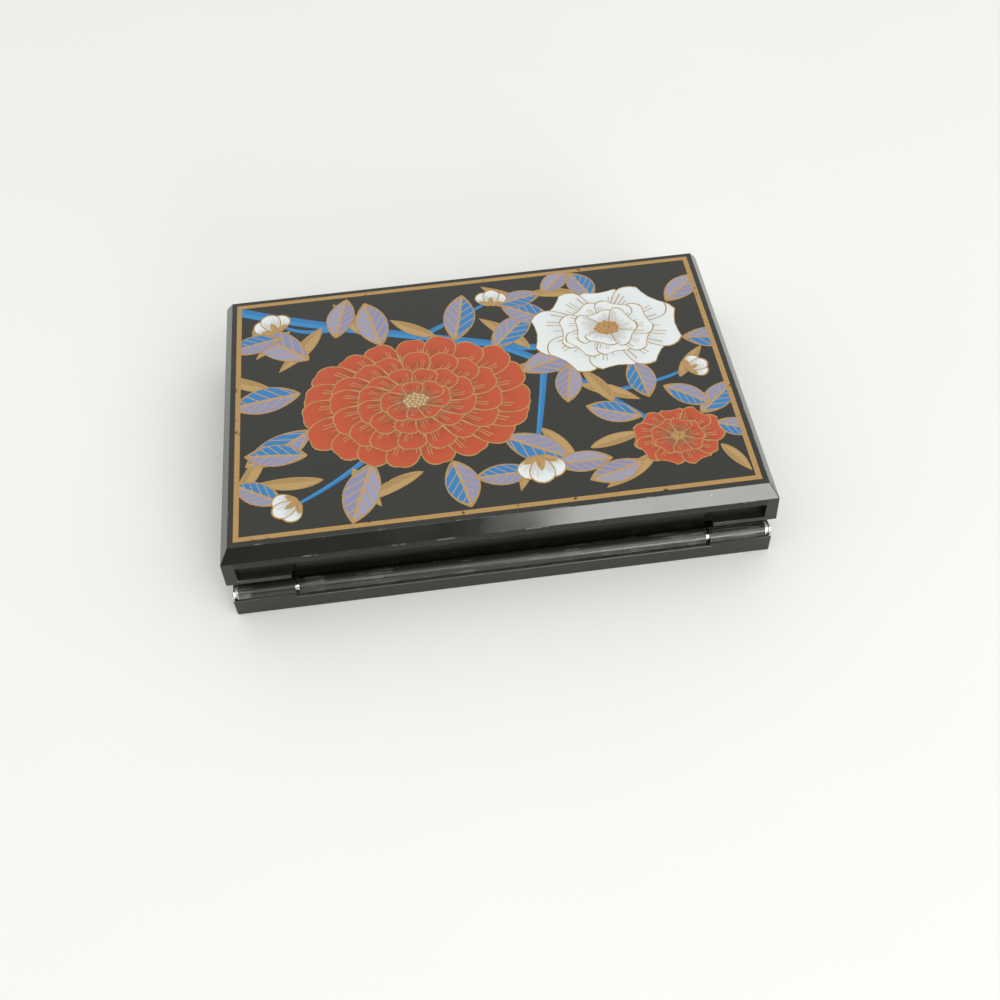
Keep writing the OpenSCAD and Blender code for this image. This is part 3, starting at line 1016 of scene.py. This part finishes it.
def draw_heart(ink, centre, radii, dots, size, level):
    """A gold disc with a cluster of round stamens, laid out as seeds are in a flower's heart."""
    foot = (Vector(centre) - Vector((0.0, radii[1]))) * MM
    draw(ink, ROUND, 2.0 * radii[1] * MM, 2.0 * radii[0] * MM, foot, 0.0, level, fill=GOLD_SLOT)
    for dot in range(dots):
        angle = dot * SEED_TURN
        reach = math.sqrt((dot + 0.5) / dots)
        out = Vector((math.cos(angle) * radii[0], math.sin(angle) * radii[1])) * reach
        foot = (Vector(centre) + out - Vector((0.0, size / 2.0))) * MM
        draw(ink, ROUND, size * MM, size * MM, foot, 0.0, level + 1, fill=THIRD_SLOT, points=12)


for name, centre, radii, outline, rings, heart, inks in FLOWERS:
    bloom = bmesh.new()
    top = draw_bloom(bloom, centre, radii, outline, rings)
    draw_heart(bloom, centre, *heart, top)
    print_piece(name, bloom, inks)

# %% [markdown]
# A bud is three petals that lean apart, with three slim sepals over their feet.
# The helper for petals and leaves draws these too, with every foot on one spot.

# %% Buds
BUD_LEVELS = 8
BUD_WIDTH = 0.72
SEPAL_LENGTH = 0.55
SEPAL_WIDTH = 0.24
# Lean in degrees and share of the bud's length of each petal, and lean of each sepal
BUD_PETALS = [(-34, 0.92), (34, 0.92), (0, 1.0)]
BUD_SEPALS = [-62, 62, 0]
# Foot (right, up), heading in degrees and length of each bud
BUDS = [
    ((-43, 24), 20, 6.4), ((9.5, -21.5), 180, 7.4), ((5, 25), 350, 5.4),
    ((-39, -26), 120, 6.0), ((44, -2), 290, 5.0),
]


def draw_bud(ink, spot, heading, size, level):
    """Three petals, and three slim sepals over their feet."""
    foot = Vector(spot) * MM
    for lean, share in BUD_PETALS:
        turn = math.radians(heading + lean)
        draw(ink, BUD_PETAL, size * share * MM, size * BUD_WIDTH * MM, foot, turn, level)
        level += 1
    length = size * SEPAL_LENGTH * MM
    width = size * SEPAL_WIDTH * MM
    for lean in BUD_SEPALS:
        turn = math.radians(heading + lean)
        draw(ink, SLIM_LEAF, length, width, foot, turn, level, fill=THIRD_SLOT, points=16)
        level += 1


buds = bmesh.new()
for number, (spot, heading, size) in enumerate(BUDS):
    draw_bud(buds, spot, heading, size, FLOWER_LEVEL + BUD_LEVELS * number)
print_piece("print_buds", buds, [white_ink, gold_outline, tan_leaf_ink])

# %% [markdown]
# The hinge's pins and washers are turned steel.
# Turned parts are made by spinning a profile about their axis, as a lathe does.
# The marks of the turning tool are rings around that axis, so the finish reads its distance from it.

# %% Turned steel
STEEL = (0.72, 0.71, 0.68, 1.0)
STEEL_DARK = (0.5, 0.48, 0.44, 1.0)
STEEL_ROUGHNESS = (0.2, 0.36)
TURNED_SHARP = math.radians(42)
TURNED_STEPS = 40


def make_steel():
    material, tree, shader = new_material("turned_steel")
    where = object_place(tree)
    inputs = {0: where, 1: HINGE_AXIS}
    centred = add(tree, "VectorMath", inputs, operation="SUBTRACT").outputs[0]
    inputs = {"Vector": centred, "Scale": 900.0, "Distortion": 1.5, "Detail": 2.0}
    rings = add(tree, "TexWave", inputs, wave_type="RINGS", rings_direction="X").outputs[1]
    cloud = noise(tree, where, 1400.0, 3.0)
    finish = {
        "Base Color": mixed(tree, ramp(tree, cloud, 0.4, 0.65), STEEL, STEEL_DARK),
        "Roughness": ramp(tree, rings, 0.0, 1.0, *STEEL_ROUGHNESS),
        "Normal": bumped(tree, rings, 0.2, 0.02 * MM),
        "Metallic": 1.0,
    }
    set_inputs(tree, shader, finish)
    return material


def turned(profile, closed):
    """Spins a profile of (x, radius) points about the hinge axis."""
    bm = bmesh.new()
    verts = [bm.verts.new((x, HINGE_AXIS.y, HINGE_AXIS.z + radius)) for x, radius in profile]
    ends = verts[1:] + verts[:1] if closed else verts[1:]
    edges = [bm.edges.new(pair) for pair in zip(verts, ends)]
    bmesh.ops.spin(
        bm,
        geom=verts + edges,
        cent=HINGE_AXIS,
        axis=(1.0, 0.0, 0.0),
        angle=2.0 * math.pi,
        steps=TURNED_STEPS,
        use_merge=True,
    )
    bmesh.ops.remove_doubles(bm, verts=bm.verts, dist=0.0001 * MM)
    bmesh.ops.recalc_face_normals(bm, faces=bm.faces)
    for face in bm.faces:
        face.smooth = True
    for edge in bm.edges:
        edge.smooth = edge.calc_face_angle(0.0) < TURNED_SHARP
    return bm


steel = make_steel()
print("material:", steel.name)

# %% [markdown]
# Two steel pins carry the lid. Each has a low domed head with a turned dimple and a thin washer.
# Their lengths are read from the CAD's boxes, so that the profiles fit between the shells.

# %% Pins and washers
PIN_SHANK = 1.0 * MM
PIN_NECK = 1.2 * MM
PIN_HEAD = 1.45 * MM
HEAD_LENGTH = 0.7 * MM
EASE = 0.06 * MM
# Shares of the head's length and of its radius, from the rim over the dome to the turned dimple
HEAD_SHAPE = [
    (0.1, 1.0), (0.45, 1.0), (0.7, 0.96), (0.87, 0.84), (0.97, 0.64), (1.0, 0.42),
    (0.93, 0.3), (0.82, 0.18), (0.78, 0.0),
]


def washer_profile(near, far, rim):
    hole = PIN_SHANK + EASE / 2.0
    return [
        (near, hole), (near, rim - EASE), (near + EASE, rim),
        (far - EASE, rim), (far, rim - EASE), (far, hole),
    ]


def pin_profile(inner, shoulder, tip):
    head = tip - HEAD_LENGTH
    point = [(inner, 0.0), (inner, PIN_SHANK - 2 * EASE), (inner + 2 * EASE, PIN_SHANK)]
    neck = [(shoulder, PIN_SHANK), (shoulder, PIN_NECK), (head, PIN_NECK), (head, PIN_HEAD - EASE)]
    dome = [(head + HEAD_LENGTH * share, PIN_HEAD * out) for share, out in HEAD_SHAPE]
    return point + neck + dome


for side in ("left", "right"):
    low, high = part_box(f"{side}_pin_washer")
    sign = math.copysign(1.0, low.x)
    near, far = sorted((abs(low.x), abs(high.x)))
    rim = (high.z - low.z) / 2.0
    low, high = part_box(f"{side}_hinge_pin")
    inner, tip = sorted((abs(low.x), abs(high.x)))
    shapes = {
        f"{side}_pin_washer": (washer_profile(near, far, rim), True),
        f"{side}_hinge_pin": (pin_profile(inner, far, tip), False),
    }
    for node, (profile, closed) in shapes.items():
        solid = turned([(sign * x, radius) for x, radius in profile], closed)
        piece = new_piece(f"turned_{node}", solid, [steel], "base")
        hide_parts(node)
        print(piece.name, "has", len(piece.data.polygons), "faces")

# %% [markdown]
# Inside the lid sits a mirror with a ground edge.
# The bevel is made by insetting the face that shows and pushing its border back.
# Silvering is a metal that is nearly smooth, with faint smears and a few dark spots.

# %% The mirror
MIRROR_BEVEL_W = 2.6 * MM
MIRROR_BEVEL_D = 0.55 * MM
SILVER = (0.83, 0.86, 0.85, 1.0)
SILVER_SPOT = (0.3, 0.28, 0.24, 1.0)
SILVER_ROUGHNESS = (0.02, 0.09)
GLASS_DEEP = (0.05, 0.11, 0.085, 1.0)
GLASS_PALE = (0.16, 0.24, 0.2, 1.0)
GLASS_ROUGHNESS = (0.2, 0.4)
# Parts of a face's normal that tell which way the face looks
FACES_DOWN = -0.9
FACES_SIDEWAYS = 0.3


def make_silver():
    material, tree, shader = new_material("silvered_glass")
    spots = place(tree, dust, Spacing=0.006, Size=0.05, Share=0.12).outputs[0]
    smear = noise(tree, object_place(tree), 60.0, 5.0, 1.2)
    finish = {
        "Base Color": mixed(tree, spots, SILVER, SILVER_SPOT),
        "Roughness": ramp(tree, smear, 0.45, 0.75, *SILVER_ROUGHNESS),
        "Metallic": 1.0,
    }
    set_inputs(tree, shader, finish)
    return material


def make_glass_edge():
    material, tree, shader = new_material("ground_glass_edge")
    grain = noise(tree, object_place(tree), 1600.0, 3.0)
    finish = {
        "Base Color": mixed(tree, grain, GLASS_DEEP, GLASS_PALE),
        "Roughness": ramp(tree, grain, 0.3, 0.7, *GLASS_ROUGHNESS),
    }
    set_inputs(tree, shader, finish)
    return material


glass = merged_copy("mirror_glass")
shown = [face for face in glass.faces if face.normal.z < FACES_DOWN]
rim_verts = [vert for face in shown for vert in face.verts]
bmesh.ops.inset_region(glass, faces=shown, thickness=MIRROR_BEVEL_W, use_even_offset=True)
bmesh.ops.translate(glass, vec=(0.0, 0.0, MIRROR_BEVEL_D), verts=rim_verts)
glass.normal_update()
for face in glass.faces:
    face.material_index = 1 if abs(face.normal.z) < FACES_SIDEWAYS else 0
mirror = new_piece("mirror_bevelled", glass, [make_silver(), make_glass_edge()], "lid")
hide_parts("mirror_glass")
print(mirror.name, "has", len(mirror.data.polygons), "faces")

# %% [markdown]
# A thin pad of adhesive foam holds the mirror to the lid.
# Voronoi cells are round and lie close together, as the bubbles in foam do.

# %% The foam behind the mirror
FOAM_PALE = (0.62, 0.6, 0.52, 1.0)
FOAM_DEEP = (0.42, 0.4, 0.34, 1.0)
FOAM_ROUGHNESS = 0.9
FOAM_ROUND = 0.2 * MM


def make_foam():
    material, tree, shader = new_material("adhesive_foam")
    inputs = {"Vector": object_place(tree), "Scale": 2500.0}
    cells = add(tree, "TexVoronoi", inputs).outputs["Distance"]
    finish = {
        "Base Color": mixed(tree, cells, FOAM_PALE, FOAM_DEEP),
        "Roughness": FOAM_ROUGHNESS,
        "Normal": bumped(tree, cells, 0.5, 0.1 * MM),
    }
    set_inputs(tree, shader, finish)
    return material


foam = merged_copy("mirror_pad")
soften(foam, FOAM_ROUND, 1.0 * MM)
foam_piece = new_piece("mirror_foam", foam, [make_foam()], "lid")
weigh_normals(foam_piece)
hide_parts("mirror_pad")
print(foam_piece.name, "has", len(foam_piece.data.polygons), "faces")

# %% [markdown]
# The tray is lined with short-pile velvet: four covered strips stand around a floor pad.
# Velvet shows a bright sheen at its edges and patches where the pile leans another way.

# %% Velvet on the strips
VELVET_DEEP = (0.1, 0.004, 0.01, 1.0)
VELVET_LIT = (0.2, 0.012, 0.024, 1.0)
VELVET_SHEEN = (0.9, 0.35, 0.4, 1.0)
VELVET_ROUGHNESS = (0.82, 0.95)
PILE_SHARE = 0.25
STRIP_ROUND = 0.42 * MM


def make_velvet():
    material, tree, shader = new_material("red_velvet")
    where = object_place(tree)
    lean = noise(tree, where, 45.0, 3.0, 0.8)
    pile = noise(tree, where, 5200.0, 2.0)
    shade = maths(tree, "ADD", lean, maths(tree, "MULTIPLY", pile, PILE_SHARE))
    finish = {
        "Base Color": mixed(tree, ramp(tree, shade, 0.45, 0.85), VELVET_DEEP, VELVET_LIT),
        "Roughness": ramp(tree, lean, 0.3, 0.7, *VELVET_ROUGHNESS),
        "Normal": bumped(tree, pile, 0.6, 0.12 * MM),
        "Sheen Weight": 0.55,
        "Sheen Roughness": 0.4,
        "Sheen Tint": VELVET_SHEEN,
        "Specular IOR Level": 0.15,
    }
    set_inputs(tree, shader, finish)
    return material


velvet = make_velvet()
for side in ("front", "back", "left", "right"):
    strip = merged_copy(f"{side}_lining")
    soften(strip, STRIP_ROUND, 0.5 * MM, 4)
    piece = new_piece(f"{side}_velvet", strip, [velvet], "base")
    weigh_normals(piece)
    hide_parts(f"{side}_lining")
    print(piece.name, "has", len(piece.data.polygons), "faces")

# %% [markdown]
# The floor pad is velvet over thin wadding on a stiff card.
# Its top is simulated cloth: a sheet held at its border and blown up a little from below.
# It is simulated ten times larger, because cloth settings suit a cushion of that size.

# %% Cloth for the floor pad
CLOTH_SCALE = 10.0
CLOTH_STEPS = 24
CLOTH_COLUMNS = 64
CLOTH_ROWS = 40
CLOTH_SETTINGS = {
    "quality": 8,
    "mass": 0.4,
    "tension_stiffness": 12.0,
    "bending_stiffness": 0.6,
    "shrink_min": -0.006,
    "vertex_group_mass": "held",
    "use_pressure": True,
    "uniform_pressure_force": 1.2,
}


def blown_sheet(half_x, half_y):
    """The mesh of a cloth that is held at its border and blown up from below."""
    bm = bmesh.new()
    bmesh.ops.create_grid(bm, x_segments=CLOTH_COLUMNS, y_segments=CLOTH_ROWS, size=1.0)
    bmesh.ops.scale(bm, vec=(half_x * CLOTH_SCALE, half_y * CLOTH_SCALE, 1.0), verts=bm.verts)
    border = [vert.index for vert in bm.verts if vert.is_boundary]
    mesh = bpy.data.meshes.new("pad_sheet")
    bm.to_mesh(mesh)
    bm.free()
    sheet = bpy.data.objects.new("pad_sheet", mesh)
    bpy.context.collection.objects.link(sheet)
    held = sheet.vertex_groups.new(name="held")
    held.add(border, 1.0, "REPLACE")
    cloth = sheet.modifiers.new("cloth", "CLOTH")
    for name, value in CLOTH_SETTINGS.items():
        setattr(cloth.settings, name, value)
    cloth.settings.effector_weights.gravity = 0.0
    cloth.point_cache.frame_end = CLOTH_STEPS
    for step in range(1, CLOTH_STEPS + 1):
        bpy.context.scene.frame_set(step)
    view = bpy.context.evaluated_depsgraph_get()
    blown = bpy.data.meshes.new_from_object(sheet.evaluated_get(view))
    bpy.data.objects.remove(sheet)
    bpy.context.scene.frame_set(1)
    return blown


print("the cloth has", CLOTH_COLUMNS, "by", CLOTH_ROWS, "faces")

# %% [markdown]
# The blown sheet is scaled back to the pad's size and to its height in the CAD.
# Its border is then turned down to the card in three steps, which round the pad's edge,
# and its underside is closed.

# %% The floor pad
PAD_EDGE = 1.2 * MM
PAD_ROUND = 0.5 * MM
AT_BORDER = 0.01 * MM
# Each step of the turned-down border: how far out, as a share of PAD_ROUND, and how far down in mm
TURN_DOWNS = [(0.7, 0.12), (0.3, 0.24), (-0.1, PAD_EDGE / MM - 0.36)]


def turn_down(bm, middle, half):
    """Rolls the sheet's border over and down to the card, and closes the underside."""
    border = [edge for edge in bm.edges if edge.is_boundary]
    for out, drop in TURN_DOWNS:
        made = bmesh.ops.extrude_edge_only(bm, edges=border)["geom"]
        edges = [item for item in made if isinstance(item, bmesh.types.BMEdge)]
        border = [edge for edge in edges if edge.is_boundary]
        for vert in [item for item in made if isinstance(item, bmesh.types.BMVert)]:
            sides = Vector((vert.co.x - middle.x, vert.co.y - middle.y))
            step = out * PAD_ROUND
            if abs(sides.x) > half.x - AT_BORDER:
                vert.co.x += math.copysign(step, sides.x)
            if abs(sides.y) > half.y - AT_BORDER:
                vert.co.y += math.copysign(step, sides.y)
            vert.co.z -= drop * MM
    bmesh.ops.holes_fill(bm, edges=border)
    bmesh.ops.recalc_face_normals(bm, faces=bm.faces)


def make_pad():
    """The pad's mesh, and how far the cloth rose before it was fitted to the pad's height."""
    low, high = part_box("floor_pad")
    middle = (low + high) / 2.0
    half = (high - low) / 2.0 - Vector((PAD_ROUND, PAD_ROUND, 0.0))
    blown = blown_sheet(half.x, half.y)
    crown = max(vert.co.z for vert in blown.vertices)
    rise = high.z - low.z - PAD_EDGE
    bm = bmesh.new()
    bm.from_mesh(blown)
    bpy.data.meshes.remove(blown)
    for vert in bm.verts:
        height = vert.co.z / crown * rise if crown > 0.0 else 0.0
        vert.co = (
            middle.x + vert.co.x / CLOTH_SCALE,
            middle.y + vert.co.y / CLOTH_SCALE,
            low.z + PAD_EDGE + height,
        )
    turn_down(bm, middle, half)
    for face in bm.faces:
        face.smooth = True
    return bm, crown


pad_mesh, crown = make_pad()
pad = new_piece("velvet_pad", pad_mesh, [velvet], "base")
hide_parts("floor_pad")
print("cloth rose", round(crown / CLOTH_SCALE / MM, 2), "mm before it was fitted to the pad")

# %% [markdown]
# The pad lies on a stiff grey card, of which little shows.
# The CAD's own card is kept, and only gets a finish of matted fibres.

# %% The card under the pad
CARD_DARK = (0.2, 0.17, 0.135, 1.0)
CARD_PALE = (0.33, 0.29, 0.24, 1.0)
CARD_ROUGHNESS = (0.8, 0.95)


def make_card():
    material, tree, shader = new_material("grey_card")
    fibres = noise(tree, object_place(tree), 700.0, 6.0, 2.0)
    finish = {
        "Base Color": mixed(tree, fibres, CARD_DARK, CARD_PALE),
        "Roughness": ramp(tree, fibres, 0.3, 0.7, *CARD_ROUGHNESS),
    }
    set_inputs(tree, shader, finish)
    return material


card_node = frame["nodes"]["floor_card"]
card_node.data.materials.clear()
card_node.data.materials.append(make_card())
print("card material on", card_node.name)

# %% [markdown]
# The box stands on a plain white table, which is the stage and no part of the box.
# A faint cloudy tint keeps it from looking like an empty background.
# It lies a hair below the box, so that the two don't fight for a place.

# %% The table
TABLE_DEEP = (0.79, 0.795, 0.78, 1.0)
TABLE_WHITE = (0.82, 0.82, 0.805, 1.0)
TABLE_ROUGHNESS = 0.6
TABLE_DROP = 0.02 * MM


def make_table():
    material, tree, shader = new_material("white_table")
    cloud = noise(tree, object_place(tree), 14.0, 3.0)
    tint = mixed(tree, cloud, TABLE_DEEP, TABLE_WHITE)
    set_inputs(tree, shader, {"Base Color": tint, "Roughness": TABLE_ROUGHNESS})
    bm = bmesh.new()
    bmesh.ops.create_grid(bm, x_segments=1, y_segments=1, size=2.0)
    bmesh.ops.translate(bm, vec=(0.0, 0.0, -TABLE_DROP), verts=bm.verts)
    mesh = bpy.data.meshes.new("table")
    bm.to_mesh(mesh)
    bm.free()
    mesh.materials.append(material)
    table = bpy.data.objects.new("table", mesh)
    bpy.context.collection.objects.link(table)


make_table()
print("the table is in place")

# %% [markdown]
# The light is soft daylight.
# A white sky lights everything evenly, but low down on the camera's side it is dim, as a room is.
# A low lamp far behind the camera is the window that shines in one half of the hinged edge.
# A broad lamp above it lifts that side a little, so that the shadow at the box's foot stays soft.

# %% Daylight and lamps
DAYLIGHT = (0.985, 1.0, 0.965)
SKY = 0.93
DIM_SIDE = 0.1
# Name, place, target, width, height and watts of each lamp
LAMPS = [
    ("window", (-0.38, 1.17, 0.27), (0.0, 0.0, 0.02), 0.56, 0.38, 7.2),
    ("fill", (-0.5, 1.11, 1.03), (0.0, 0.0, 0.0), 1.7, 0.9, 10.5),
]


def make_lamp(name, where, target, width, height, watts):
    data = bpy.data.lights.new(name, "AREA")
    data.shape = "RECTANGLE"
    data.size = width
    data.size_y = height
    data.energy = watts
    data.color = DAYLIGHT
    lamp = bpy.data.objects.new(name, data)
    lamp.location = where
    lamp.rotation_euler = (Vector(target) - Vector(where)).to_track_quat("-Z", "Y").to_euler()
    bpy.context.collection.objects.link(lamp)


def make_daylight():
    """A white sky that is dimmer low down on the camera's side, where a room is in shade."""
    world = bpy.data.worlds.new("daylight")
    world.use_nodes = True
    tree = world.node_tree
    parts = add(tree, "SeparateXYZ", {0: add(tree, "TexCoord").outputs["Generated"]})
    towards = ramp(tree, parts.outputs[1], 0.1, 0.6)
    low = ramp(tree, parts.outputs[2], 0.3, 0.7, 1.0, 0.0)
    shade = maths(tree, "MULTIPLY", towards, low)
    light = {"Color": (*DAYLIGHT, 1.0), "Strength": ramp(tree, shade, 0.0, 1.0, SKY, DIM_SIDE)}
    set_inputs(tree, tree.nodes["Background"], light)
    bpy.context.scene.world = world


make_daylight()
for lamp in LAMPS:
    make_lamp(*lamp)
print("sky and", len(LAMPS), "lamps are in place")
